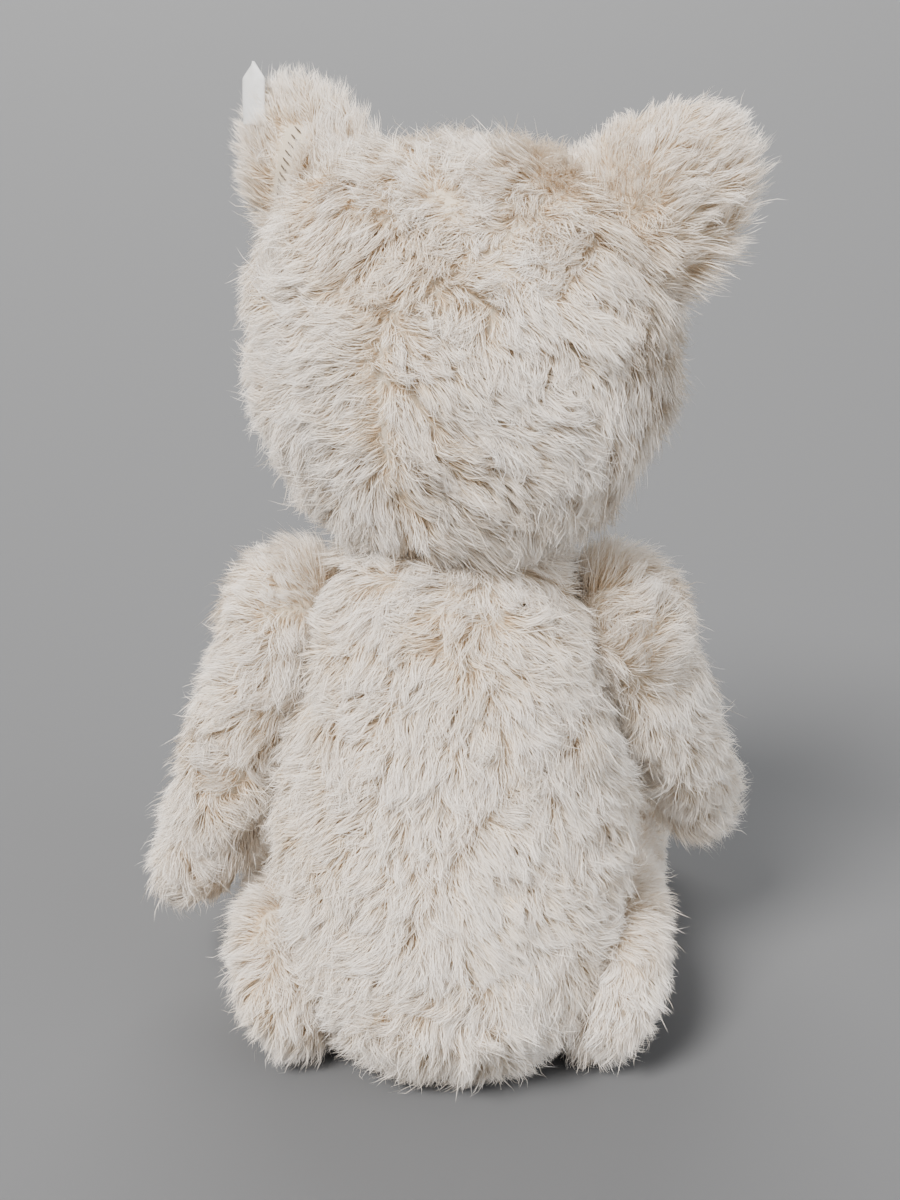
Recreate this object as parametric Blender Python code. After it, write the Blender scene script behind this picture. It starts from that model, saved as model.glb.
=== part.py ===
"""Jointed mohair teddy bear, sitting: five disc joints, stuffed head, torso, arms and legs.

Metres, +Z up, the bear faces -Y and its left is +X. The floor is z = 0.
"""
import math

import bmesh
import bpy
from mathutils import Matrix, Vector

# overall, m
NECK_Z = 0.2260          # plane between torso and head
NECK_Y = 0.0120          # the neck sits behind the middle of the skull
SEAT_DROP = 0.008        # how far the uncut round seat reaches below the floor
SHIFT = (-0.00302, 0.03566, 0.0)  # brings the middle of the overall box over the origin
WALL = 0.0045            # backing cloth with its pile pressed flat
FIT = 0.0003             # play between touching pieces
SPLIT = 0.00025          # half the play in a joint

# joints
HEAD_TURN = -22.0        # degrees about +Z, face towards the bear's right
SHOULDER = (0.0520, 0.006, 0.1830)
SHOULDER_TILT = 18.0
ARM_FORWARD = {1: 6.0, -1: 27.0}
HIP = (0.0525, 0.029, 0.0400)
HIP_TILT = 18.0
HIP_IN = 5.0
LEG_DOWN = {1: -1.3, -1: -1.3}
SPLAY = 10.0

# joint hardware
NECK_DISC = 0.0205
ARM_DISC = 0.0102
LEG_DISC = 0.0120
BOARD = 0.0025
WASHER_R = 0.0060
WASHER_T = 0.0010
WIRE = 0.00075
HOLE = 0.0021

SIDES = {1: "left", -1: "right"}

for old in list(bpy.data.objects):
    bpy.data.objects.remove(old)

bear = bpy.data.collections.new("teddy_bear")
tools = bpy.data.collections.new("cutters")
bpy.context.scene.collection.children.link(bear)
bpy.context.scene.collection.children.link(tools)

COLOURS = {
    "plush": (0.74, 0.68, 0.58),
    "stuffing": (0.62, 0.50, 0.32),
    "felt": (0.66, 0.55, 0.40),
    "board": (0.36, 0.22, 0.12),
    "steel": (0.55, 0.56, 0.58),
    "glass": (0.10, 0.04, 0.02),
    "thread": (0.08, 0.05, 0.04),
    "label": (0.85, 0.83, 0.78),
}


def paint(ob, kind):
    mat = bpy.data.materials.new(ob.name)
    mat.use_nodes = True
    node = mat.node_tree.nodes["Principled BSDF"]
    node.inputs["Base Color"].default_value = (*COLOURS[kind], 1)
    node.inputs["Roughness"].default_value = 0.3 if kind in ("steel", "glass") else 0.9
    node.inputs["Metallic"].default_value = 1.0 if kind == "steel" else 0.0
    ob.data.materials.append(mat)


def outward(bm):
    bmesh.ops.recalc_face_normals(bm, faces=bm.faces[:])
    if bm.calc_volume(signed=True) < 0:
        bmesh.ops.reverse_faces(bm, faces=bm.faces[:])
    bm.normal_update()


def add(name, bm, kind=None, parent=None):
    """Makes an object of bm: a named piece when kind is given, a cutter when it is not."""
    parent = parent or floor_frame
    outward(bm)
    me = bpy.data.meshes.new(name)
    bm.to_mesh(me)
    bm.free()
    ob = bpy.data.objects.new(name, me)
    (bear if kind else tools).objects.link(ob)
    if kind:
        paint(ob, kind)
    else:
        ob.hide_render = True
        ob.display_type = "WIRE"
    ob.parent = parent
    return ob


def pivot(name, frame, parent=None):
    """An empty, such as one on a joint axis with local +Z along the axis."""
    ob = bpy.data.objects.new(name, None)
    ob.empty_display_size = 0.02
    bear.objects.link(ob)
    ob.parent = parent
    ob.matrix_basis = frame
    return ob


def boolean(ob, cutter, how="DIFFERENCE"):
    mod = ob.modifiers.new(f"{how.lower()}_{cutter.name}"[:60], "BOOLEAN")
    mod.operation = how
    mod.solver = "EXACT"
    mod.object = cutter
    return mod


def smooth_at(x, knots, values):
    """Cubic through the knots, level slopes taken from the neighbours."""
    n = len(knots)
    x = min(max(x, knots[0]), knots[-1])
    i = max(j for j in range(n - 1) if knots[j] <= x)
    slope = []
    for j in (i, i + 1):
        a, b = max(j - 1, 0), min(j + 1, n - 1)
        slope.append((values[b] - values[a]) / (knots[b] - knots[a]))
    h = knots[i + 1] - knots[i]
    t = (x - knots[i]) / h
    return (
        values[i] * (1 + 2 * t) * (1 - t) ** 2
        + slope[0] * h * t * (1 - t) ** 2
        + values[i + 1] * t * t * (3 - 2 * t)
        + slope[1] * h * t * t * (t - 1)
    )


def capped(k, start, end, cap0, cap1, share=0.3):
    """Place along the form and width factor for ring k: round caps, straight between."""
    if k < share:
        a = k / share * math.pi / 2
        return start + (end - start) * cap0 * (1 - math.cos(a)), math.sin(a)
    if k > 1 - share:
        a = (1 - k) / share * math.pi / 2
        return end - (end - start) * cap1 * (1 - math.cos(a)), math.sin(a)
    t = (k - share) / (1 - 2 * share)
    return start + (end - start) * (cap0 + (1 - cap0 - cap1) * t), 1.0


# soft shapes: k runs from one end of the form to the other, a goes round it

TORSO = {
    "z": (-0.008, 0.030, 0.050, 0.082, 0.115, 0.148, 0.184, 0.240),
    "x": (0.0660, 0.0685, 0.0700, 0.0725, 0.0710, 0.0655, 0.0570, 0.0470),
    "y": (0.0700, 0.0730, 0.0745, 0.0750, 0.0715, 0.0650, 0.0575, 0.0480),
    "mid": (0.0140, 0.0120, 0.0100, 0.0080, 0.0070, 0.0085, 0.0110, 0.0130),
}


def torso_shape(k, a):
    z, w = capped(k, -SEAT_DROP, 0.240, 0.240, 0.226)
    rx, ry, cy = (smooth_at(z, TORSO["z"], TORSO[c]) for c in ("x", "y", "mid"))
    return Vector((rx * w * math.cos(a), cy + ry * w * math.sin(a), z))


HEAD = {
    "y": (0.078, 0.050, 0.020, -0.010, -0.035, -0.052, -0.066, -0.085, -0.112),
    "x": (0.0740, 0.0785, 0.0800, 0.0790, 0.0710, 0.0550, 0.0420, 0.0350, 0.0300),
    "mid": (0.0730, 0.0720, 0.0710, 0.0690, 0.0660, 0.0600, 0.0510, 0.0455, 0.0430),
    "up": (0.0740, 0.0765, 0.0775, 0.0770, 0.0700, 0.0520, 0.0380, 0.0310, 0.0270),
    "down": (0.0760, 0.0810, 0.0820, 0.0780, 0.0680, 0.0520, 0.0400, 0.0330, 0.0280),
}


def head_shape(k, a):
    y, w = capped(k, 0.078, -0.112, 0.32, 0.11)
    key = [-v for v in HEAD["y"]]
    rx, mid, up, down = (smooth_at(-y, key, HEAD[c]) for c in ("x", "mid", "up", "down"))
    c, s = math.cos(a), math.sin(a)
    square = 2 / 2.45 if s > 0 else 2 / 2.3
    x = rx * math.copysign(abs(c) ** square, c)
    z = (up if s > 0 else down) * math.copysign(abs(s) ** square, s)
    if s < 0:
        x *= 1 - 0.20 * abs(s) ** 1.5
    return Vector((x * w, y - NECK_Y, mid + z * w))


ARM = {
    "l": (-0.028, 0.000, 0.040, 0.080, 0.114, 0.141, 0.158),
    "f": (0.0255, 0.0265, 0.0255, 0.0235, 0.0220, 0.0225, 0.0205),
    "w": (0.0225, 0.0225, 0.0210, 0.0190, 0.0175, 0.0170, 0.0165),
    "bend": (-0.0010, 0.0000, -0.0030, -0.0030, 0.0020, 0.0110, 0.0190),
    "out": (0.0165, 0.0165, 0.0180, 0.0195, 0.0200, 0.0200, 0.0200),
}
LEG = {
    "l": (-0.033, 0.000, 0.042, 0.086, 0.120, 0.142, 0.160, 0.184),
    "toe": (0.0310, 0.0320, 0.0310, 0.0265, 0.0250, 0.0330, 0.0460, 0.0520),
    "heel": (0.0320, 0.0330, 0.0320, 0.0280, 0.0245, 0.0245, 0.0265, 0.0275),
    "w": (0.0215, 0.0215, 0.0220, 0.0215, 0.0205, 0.0225, 0.0250, 0.0260),
}


def arm_shape(k, a):
    l, w = capped(k, -0.028, 0.158, 0.155, 0.12)
    rf, rw, bend, out = (smooth_at(l, ARM["l"], ARM[c]) for c in ("f", "w", "bend", "out"))
    return Vector((l, bend + rf * w * math.cos(a), out + rw * w * math.sin(a)))


def leg_shape(k, a):
    l, w = capped(k, -0.033, 0.186, 0.155, 0.085)
    toe, heel, rw = (smooth_at(l, LEG["l"], LEG[c]) for c in ("toe", "heel", "w"))
    out = 0.0155 + max(l - 0.012, 0) * math.tan(math.radians(SPLAY))
    r = toe if math.cos(a) > 0 else heel
    return Vector((l, r * w * math.cos(a), out + rw * w * math.sin(a)))


def press(v, planes, inset):
    """Pushes a vertex that lies beyond a pressed face back onto it."""
    for point, normal, reach in planes:
        d = (v - point).dot(normal) + inset
        if d > 0:
            v = v - normal * d * (reach(v) if reach else 1.0)
    return v


def soft_form(name, shape, sides, rings, inset, planes, flip=1, kind=None, parent=None):
    """A round ball drawn out into the shape, inset along its own normals, then pressed flat."""
    bm = bmesh.new()
    bmesh.ops.create_uvsphere(bm, u_segments=sides, v_segments=rings, radius=1.0)
    for v in bm.verts:
        k = math.acos(max(-1.0, min(1.0, v.co.z))) / math.pi
        p = shape(k, math.atan2(v.co.y, v.co.x))
        v.co = (p.x, p.y * flip, p.z)
    outward(bm)
    moved = [v.co - v.normal * inset for v in bm.verts]
    for v, p in zip(bm.verts, moved):
        v.co = press(p, planes, inset)
    return add(name, bm, kind, parent)


def rod(name, radius, low, high, sides=20, kind=None, parent=None, at=(0, 0)):
    """A round rod or plate along local Z."""
    bm = bmesh.new()
    bmesh.ops.create_cone(bm, cap_ends=True, cap_tris=False, segments=sides,
                          radius1=radius, radius2=radius, depth=high - low)
    bmesh.ops.translate(bm, vec=(at[0], at[1], (low + high) / 2), verts=bm.verts)
    return add(name, bm, kind, parent)


def pierced(name, radius, low, high, sides, kind, parent):
    """A plate with the pin's hole, made by turning its section about local Z."""
    bm = bmesh.new()
    section = [(HOLE, low), (radius, low), (radius, high), (HOLE, high)]
    verts = [bm.verts.new((r, 0, z)) for r, z in section]
    edges = [bm.edges.new((verts[i], verts[(i + 1) % 4])) for i in range(4)]
    bmesh.ops.spin(bm, geom=verts + edges, cent=(0, 0, 0), axis=(0, 0, 1),
                   angle=math.tau, steps=sides, use_merge=True)
    bmesh.ops.remove_doubles(bm, verts=bm.verts[:], dist=1e-6)
    return add(name, bm, kind, parent)


def cotter(name, low, high, parent):
    """A split pin of round wire: eye at the limb end, both ends curled over the washer."""
    curl = [(6.3, 1.2), (6.1, 2.9), (4.9, 4.1), (3.3, 4.2), (1.9, 3.2), (1.05, 1.6)]
    half = [(r / 1000, low - drop / 1000) for r, drop in curl]
    half.append((0.0009, low + 0.001))
    half.append((0.0009, high))
    half += [(0.0021, high + 0.0015), (0.0021, high + 0.0033)]
    path = half + [(0.0, high + 0.0047)] + [(-r, z) for r, z in reversed(half)]
    curve = bpy.data.curves.new(name, "CURVE")
    curve.dimensions = "3D"
    curve.bevel_depth = WIRE
    curve.bevel_resolution = 1
    curve.use_fill_caps = True
    line = curve.splines.new("POLY")
    line.points.add(len(path) - 1)
    for point, (r, z) in zip(line.points, path):
        point.co = (r, 0, z, 1)
    ob = bpy.data.objects.new(name, curve)
    bear.objects.link(ob)
    ob.parent = parent
    paint(ob, "steel")
    return ob


def joint_stack(joint, outer, radius, parent):
    """Boards, washers and split pin of one joint, in from the parted faces on both sides."""
    board = SPLIT + WALL + FIT
    washer = board + BOARD + FIT
    end = washer + WASHER_T
    pierced(f"{joint}_{outer}_board", radius, board, board + BOARD, 16, "board", parent)
    pierced(f"{joint}_{outer}_washer", WASHER_R, washer, end, 10, "steel", parent)
    pierced(f"{joint}_body_board", radius, -board - BOARD, -board, 16, "board", parent)
    pierced(f"{joint}_body_washer", WASHER_R, -end, -washer, 10, "steel", parent)
    cotter(f"{joint}_pin", -end - FIT, end + FIT, parent)


def frame_of(origin, along, axis):
    """Joint frame: +X along the limb, +Z out along the axis."""
    z = axis.normalized()
    x = (along - z * along.dot(z)).normalized()
    y = z.cross(x)
    m = Matrix((x, y, z)).transposed().to_4x4()
    m.translation = Vector(origin)
    return m


def arm_frame(side):
    t = math.radians(SHOULDER_TILT)
    axis = Vector((side * math.cos(t), 0, math.sin(t)))
    down = Vector((side * math.sin(t), 0, -math.cos(t)))
    p = math.radians(ARM_FORWARD[side])
    along = down * math.cos(p) + Vector((0, -1, 0)) * math.sin(p)
    return frame_of((side * SHOULDER[0], SHOULDER[1], SHOULDER[2]), along, axis)


def leg_frame(side):
    b, a = math.radians(HIP_TILT), math.radians(HIP_IN)
    axis = Vector((side * math.cos(b) * math.cos(a), -math.cos(b) * math.sin(a), -math.sin(b)))
    ahead = Vector((-side * math.sin(a), -math.cos(a), 0))
    down = axis.cross(ahead) * side
    p = math.radians(LEG_DOWN[side])
    along = ahead * math.cos(p) + down * math.sin(p)
    return frame_of((side * HIP[0], HIP[1], HIP[2]), along, axis)


neck_frame = Matrix.Translation((0, NECK_Y, NECK_Z)) @ Matrix.Rotation(
    math.radians(HEAD_TURN), 4, "Z")


def hip_reach(side):
    """Full behind the leg's round top and ahead of it, fading out at the back of the seat."""
    def reach(v):
        t = (v.y - HIP[1] - 0.036) / 0.022
        return 1.0 - max(0.0, min(1.0, t)) ** 2 * (3 - 2 * max(0.0, min(1.0, t)))
    return reach


def torso_planes():
    faces = [(Vector((0, 0, NECK_Z - SPLIT)), Vector((0, 0, 1)), None)]
    for side in SIDES:
        for frame, reach in ((arm_frame(side), None), (leg_frame(side), hip_reach(side))):
            axis = frame.col[2].to_3d()
            faces.append((frame.translation - axis * SPLIT, axis, reach))
    faces.append((Vector((0, 0, 0)), Vector((0, 0, -1)), None))
    return faces


def make_torso(neck, arms, legs):
    planes = torso_planes()
    shell = soft_form("torso_skin", torso_shape, 22, 17, 0, planes, kind="plush")
    inner = soft_form("torso_hollow", torso_shape, 22, 17, WALL, planes)
    boolean(shell, inner)
    fill = soft_form("torso_stuffing", torso_shape, 22, 17, WALL + 0.0034, planes,
                     kind="stuffing")
    for name, joint, radius in (
        ("neck", neck, NECK_DISC),
        ("shoulder_left", arms[1], ARM_DISC),
        ("shoulder_right", arms[-1], ARM_DISC),
        ("hip_left", legs[1], LEG_DISC),
        ("hip_right", legs[-1], LEG_DISC),
    ):
        boolean(shell, rod(f"{name}_torso_hole", HOLE, -0.008, 0.004, 12, parent=joint))
        pocket = rod(f"{name}_torso_pocket", radius + 0.0010, -0.0165, 0.004, 20, parent=joint)
        boolean(fill, pocket)


def make_head(neck):
    """The head is modelled facing -Y about the neck's own frame."""
    shape = head_shape
    planes = [(Vector((0, 0, SPLIT)), Vector((0, 0, -1)), None)]
    shell = soft_form("head_skin", shape, 22, 19, 0, planes, kind="plush", parent=neck)
    inner = soft_form("head_hollow", shape, 22, 19, WALL, planes, parent=neck)
    boolean(shell, inner)
    fill = soft_form("head_stuffing", shape, 22, 19, WALL + 0.0018, planes,
                     kind="stuffing", parent=neck)
    boolean(shell, rod("neck_head_hole", HOLE, -0.004, 0.008, 12, parent=neck))
    boolean(fill, rod("neck_head_pocket", NECK_DISC + 0.001, -0.004, 0.0165, 20, parent=neck))
    seat = soft_form("head_seat", shape, 22, 19, -0.0004, planes, parent=neck)
    for side in SIDES:
        make_ear(side, neck, seat)
        make_eye(side, neck, shape, shell, fill)
    make_nose(neck, seat)
    make_label(neck)


EAR_AT = (0.0660, -0.012, 0.1235)
EAR_LEAN = 46.0          # degrees above level that the ear points
EAR_WIDE, EAR_TALL, EAR_THICK = 0.0320, 0.0480, 0.0085
EAR_CUP = 0.012


def ear_frame(side):
    t = math.radians(EAR_LEAN)
    out = Vector((side * math.cos(t), 0.0, math.sin(t)))
    back = Vector((side * 0.15, 0.98, 0)).normalized()
    return frame_of((side * EAR_AT[0], EAR_AT[1], EAR_AT[2]), out, back)


def make_ear(side, neck, seat):
    """A flat two-layer cushion, its rim curled forwards, fitted to the head."""
    bm = bmesh.new()
    bmesh.ops.create_uvsphere(bm, u_segments=18, v_segments=8, radius=1.0)
    for v in bm.verts:
        rim = v.co.x ** 2 + v.co.y ** 2
        thick = EAR_THICK * (1 - 0.25 * rim)
        v.co = (v.co.x * EAR_TALL, v.co.y * EAR_WIDE, v.co.z * thick - EAR_CUP * rim)
    bmesh.ops.transform(bm, matrix=ear_frame(side), verts=bm.verts)
    ear = add(f"ear_{SIDES[side]}", bm, "plush", neck)
    boolean(ear, seat)


def make_eye(side, neck, shape, shell, fill):
    """A glass ball on a wire shank that goes through the face cloth."""
    k, a = 0.575, math.pi / 2 - side * 0.73
    p = shape(k, a)
    across = (shape(k, a + 0.01) - p).cross(shape(k + 0.005, a) - p).normalized()
    if across.y > 0:
        across = -across
    frame = frame_of(p, Vector((0, 0, 1)), across)
    bm = bmesh.new()
    bmesh.ops.create_uvsphere(bm, u_segments=14, v_segments=8, radius=0.0068)
    bmesh.ops.translate(bm, vec=(0, 0, 0.0074), verts=bm.verts)
    bmesh.ops.transform(bm, matrix=frame, verts=bm.verts)
    eye = add(f"eye_{SIDES[side]}", bm, "glass", neck)
    bm = bmesh.new()
    bmesh.ops.create_cone(bm, cap_ends=True, segments=10, radius1=0.001, radius2=0.001,
                          depth=0.0135)
    bmesh.ops.translate(bm, vec=(0, 0, -0.0047), verts=bm.verts)
    bmesh.ops.transform(bm, matrix=frame, verts=bm.verts)
    boolean(eye, add(f"eye_{SIDES[side]}_shank", bm, parent=neck), "UNION")
    for target, radius, depth in ((shell, 0.0014, 0.020), (fill, 0.0022, 0.028)):
        bm = bmesh.new()
        bmesh.ops.create_cone(bm, cap_ends=True, segments=10, radius1=radius,
                              radius2=radius, depth=depth)
        bmesh.ops.translate(bm, vec=(0, 0, -0.002), verts=bm.verts)
        bmesh.ops.transform(bm, matrix=frame, verts=bm.verts)
        boolean(target, add(f"{target.name}_eye_{SIDES[side]}_hole", bm, parent=neck))


def make_nose(neck, seat):
    """A pad of satin stitches over the tip of the muzzle."""
    bm = bmesh.new()
    bmesh.ops.create_uvsphere(bm, u_segments=18, v_segments=10, radius=1.0)
    for v in bm.verts:
        wide = 0.0135 * (1 + 0.22 * v.co.z)
        v.co = (v.co.x * wide, v.co.y * 0.0085, v.co.z * 0.0095)
    bmesh.ops.translate(bm, vec=(0, -0.1085 - NECK_Y, 0.0520), verts=bm.verts)
    boolean(add("nose", bm, "thread", neck), seat)


def make_label(neck):
    """A folded cloth strip with a pointed end, sewn to the back of the left ear's rim."""
    outline = [(-0.012, -0.0055), (0.006, -0.0055), (0.0125, 0.0), (0.006, 0.0055),
               (-0.012, 0.0055)]
    bm = bmesh.new()
    face = bm.faces.new([bm.verts.new((x, y, 0)) for x, y in outline])
    top = bmesh.ops.extrude_face_region(bm, geom=[face])["geom"]
    bmesh.ops.translate(bm, vec=(0, 0, 0.0007),
                        verts=[v for v in top if isinstance(v, bmesh.types.BMVert)])
    place = ear_frame(1) @ Matrix.Translation((0.0480, -0.0060, -0.0025)) @ Matrix.Rotation(
        math.radians(-40), 4, "Z") @ Matrix.Rotation(math.radians(8), 4, "Y")
    bmesh.ops.transform(bm, matrix=place, verts=bm.verts)
    add("ear_label", bm, "label", neck)


PAW_PAD = (0.112, 0.155, 0.0145)   # from, to along the arm, half width
SOLE = 0.1800
SOLE_PAD = (0.0430, 0.0200, 0.0185)  # toe, heel, half width


def paw_block(name, grow, high, kind=None, parent=None, flip=1):
    """An upright oval block over the inner side of the paw."""
    low, top, half = PAW_PAD
    bm = bmesh.new()
    bmesh.ops.create_cone(bm, cap_ends=True, segments=24, radius1=1, radius2=1, depth=1)
    for v in bm.verts:
        l = (low + top) / 2 + v.co.x * ((top - low) / 2 + grow)
        v.co = (l, flip * (0.0115 + v.co.y * (half + grow)), -0.006 + (v.co.z + 0.5) * high)
    return add(name, bm, kind, parent)


def sole_block(name, grow, low, high, kind=None, parent=None, flip=1):
    """An oval plate or block across the end of the foot."""
    toe, heel, half = SOLE_PAD
    out = 0.0155 + (SOLE - 0.012) * math.tan(math.radians(SPLAY))
    bm = bmesh.new()
    bmesh.ops.create_cone(bm, cap_ends=True, segments=24, radius1=1, radius2=1, depth=1)
    for v in bm.verts:
        reach = (toe if v.co.x > 0 else heel) + grow
        v.co = (low + (v.co.z + 0.5) * (high - low), flip * v.co.x * reach,
                out + v.co.y * (half + grow))
    return add(name, bm, kind, parent)


def make_arm(side, joint):
    word = SIDES[side]
    flip = -side
    planes = [(Vector((0, 0, SPLIT)), Vector((0, 0, -1)), None)]
    shell = soft_form(f"arm_{word}_skin", arm_shape, 16, 14, 0, planes, flip, "plush", joint)
    inner = soft_form(f"arm_{word}_hollow", arm_shape, 16, 14, WALL, planes, flip, parent=joint)
    boolean(shell, inner)
    fill = soft_form(f"arm_{word}_stuffing", arm_shape, 16, 14, WALL + 0.0015, planes, flip,
                     "stuffing", joint)
    boolean(shell, rod(f"shoulder_{word}_arm_hole", HOLE, -0.004, 0.008, 12, parent=joint))
    boolean(fill, rod(f"shoulder_{word}_arm_pocket", ARM_DISC + 0.001, -0.004, 0.0165, 20,
                      parent=joint))
    boolean(shell, paw_block(f"paw_{word}_window", FIT, 0.019, parent=joint, flip=flip))
    pad = paw_block(f"paw_{word}_felt", 0, 0.018, "felt", joint, flip)
    cloth = soft_form(f"paw_{word}_face", arm_shape, 16, 14, 0.0015, planes, flip, parent=joint)
    boolean(pad, cloth, "INTERSECT")
    boolean(pad, soft_form(f"paw_{word}_back", arm_shape, 16, 14, 0.0042, planes, flip,
                           parent=joint))


def make_leg(side, joint):
    word = SIDES[side]
    flip = -side
    planes = [(Vector((0, 0, SPLIT)), Vector((0, 0, -1)), None),
              (Vector((SOLE, 0, 0)), Vector((1, 0, 0)), None)]
    shell = soft_form(f"leg_{word}_skin", leg_shape, 18, 18, 0, planes, flip, "plush", joint)
    inner = soft_form(f"leg_{word}_hollow", leg_shape, 18, 18, WALL, planes, flip, parent=joint)
    boolean(shell, inner)
    fill = soft_form(f"leg_{word}_stuffing", leg_shape, 18, 18, WALL + 0.0015, planes, flip,
                     "stuffing", joint)
    boolean(shell, rod(f"hip_{word}_leg_hole", HOLE, -0.004, 0.008, 12, parent=joint))
    boolean(fill, rod(f"hip_{word}_leg_pocket", LEG_DISC + 0.001, -0.004, 0.0165, 20,
                      parent=joint))
    boolean(shell, sole_block(f"sole_{word}_window", FIT, 0.164, 0.190, parent=joint,
                              flip=flip))
    sole_block(f"sole_{word}_felt", 0, SOLE - 0.0023, SOLE - 0.0001, "felt", joint, flip)
    sole_block(f"sole_{word}_board", -0.0005, SOLE - 0.0042, SOLE - 0.0026, "board", joint,
               flip)
    boolean(fill, sole_block(f"sole_{word}_room", 0.001, SOLE - 0.0047, 0.195, parent=joint,
                             flip=flip))


floor_frame = pivot("bear_frame", Matrix.Translation(SHIFT))
neck_joint = pivot("neck_joint", neck_frame, floor_frame)
arm_joints = {s: pivot(f"shoulder_{w}_joint", arm_frame(s), floor_frame) for s, w in SIDES.items()}
leg_joints = {s: pivot(f"hip_{w}_joint", leg_frame(s), floor_frame) for s, w in SIDES.items()}
bpy.context.view_layer.update()

make_torso(neck_joint, arm_joints, leg_joints)
make_head(neck_joint)
joint_stack("neck", "head", NECK_DISC, neck_joint)
for s, w in SIDES.items():
    make_arm(s, arm_joints[s])
    joint_stack(f"shoulder_{w}", "arm", ARM_DISC, arm_joints[s])
    make_leg(s, leg_joints[s])
    joint_stack(f"hip_{w}", "leg", LEG_DISC, leg_joints[s])
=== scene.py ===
"""Jointed mohair teddy bear: pile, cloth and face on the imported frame."""
import math

import bmesh
import bpy
import numpy as np
from mathutils import Matrix, Vector
from mathutils.bvhtree import BVHTree
from mathutils.kdtree import KDTree


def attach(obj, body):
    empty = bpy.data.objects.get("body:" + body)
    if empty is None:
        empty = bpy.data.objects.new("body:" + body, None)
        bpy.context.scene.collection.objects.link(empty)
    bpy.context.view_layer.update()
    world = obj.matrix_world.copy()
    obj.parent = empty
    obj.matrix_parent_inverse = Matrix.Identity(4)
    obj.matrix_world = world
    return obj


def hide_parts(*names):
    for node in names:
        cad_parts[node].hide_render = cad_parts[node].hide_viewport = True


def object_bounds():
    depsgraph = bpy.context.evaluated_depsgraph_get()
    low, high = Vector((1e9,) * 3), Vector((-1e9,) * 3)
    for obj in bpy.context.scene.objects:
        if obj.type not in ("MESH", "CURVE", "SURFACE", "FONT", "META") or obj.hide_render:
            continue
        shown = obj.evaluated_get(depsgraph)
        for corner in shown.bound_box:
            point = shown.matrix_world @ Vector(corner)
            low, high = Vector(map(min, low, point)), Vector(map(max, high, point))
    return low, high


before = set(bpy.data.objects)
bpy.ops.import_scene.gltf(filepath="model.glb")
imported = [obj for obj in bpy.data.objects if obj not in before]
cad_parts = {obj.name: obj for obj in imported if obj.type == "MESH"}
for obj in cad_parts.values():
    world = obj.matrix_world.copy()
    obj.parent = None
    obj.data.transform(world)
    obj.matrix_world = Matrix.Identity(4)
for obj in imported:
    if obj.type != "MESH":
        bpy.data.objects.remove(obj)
cad_box = [list(map(float, c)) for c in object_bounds()]

# Metres and degrees. The bear faces -Y and its own left is +X.
SHIFT = Vector((-0.00302, 0.03566, 0.0))    # from the bear's own axes to the frame's
NECK_Z, NECK_Y, HEAD_TURN = 0.2260, 0.0120, -22.0
SHOULDER, SHOULDER_TILT = (0.0520, 0.006, 0.1830), 18.0
ARM_FORWARD = {1: 6.0, -1: 27.0}
HIP, HIP_TILT, HIP_IN = (0.0525, 0.029, 0.0400), 18.0, 5.0
LEG_DOWN, SPLAY = -1.3, 10.0
EAR_AT, EAR_LEAN = (0.0660, -0.012, 0.1235), 46.0
EAR_WIDE, EAR_TALL, EAR_THICK, EAR_CUP = 0.0320, 0.0480, 0.0085, 0.012
SOLE = 0.1800           # from the hip to the sole
SIDES = {1: "left", -1: "right"}
BACKING = 0.0022        # how far the cloth lies under the pressed pile of the frame
DENSITY = 1.0
scene = bpy.context.scene


# ---------------------------------------------------------------- materials

def material(name):
    mat = bpy.data.materials.new(name)
    mat.use_nodes = True
    return mat, mat.node_tree.nodes, mat.node_tree.links, mat.node_tree.nodes["Principled BSDF"]


def cloth(name, dark, light, weave=900.0, bump=0.35, rough=0.9, sheen=0.3, blotch=40.0):
    """Woven or felted cloth: colour from two scales of noise, bump from a fine weave."""
    mat, nodes, links, shader = material(name)
    where = nodes.new("ShaderNodeTexCoord")
    big = nodes.new("ShaderNodeTexNoise")
    big.inputs["Scale"].default_value = blotch
    big.inputs["Detail"].default_value = 6.0
    fine = nodes.new("ShaderNodeTexNoise")
    fine.inputs["Scale"].default_value = weave
    fine.inputs["Detail"].default_value = 3.0
    both = nodes.new("ShaderNodeMath")
    both.operation = "MULTIPLY_ADD"
    both.inputs[1].default_value = 0.45
    ramp = nodes.new("ShaderNodeValToRGB")
    ramp.color_ramp.elements[0].position = 0.38
    ramp.color_ramp.elements[0].color = (*dark, 1)
    ramp.color_ramp.elements[1].position = 0.92
    ramp.color_ramp.elements[1].color = (*light, 1)
    height = nodes.new("ShaderNodeBump")
    height.inputs["Strength"].default_value = bump
    height.inputs["Distance"].default_value = 0.0004
    for n in (big, fine):
        links.new(where.outputs["Object"], n.inputs["Vector"])
    links.new(fine.outputs["Fac"], both.inputs[0])
    links.new(big.outputs["Fac"], both.inputs[2])
    links.new(both.outputs[0], ramp.inputs["Fac"])
    links.new(ramp.outputs["Color"], shader.inputs["Base Color"])
    links.new(fine.outputs["Fac"], height.inputs["Height"])
    links.new(height.outputs["Normal"], shader.inputs["Normal"])
    shader.inputs["Roughness"].default_value = rough
    shader.inputs["Sheen Weight"].default_value = sheen
    return mat


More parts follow.
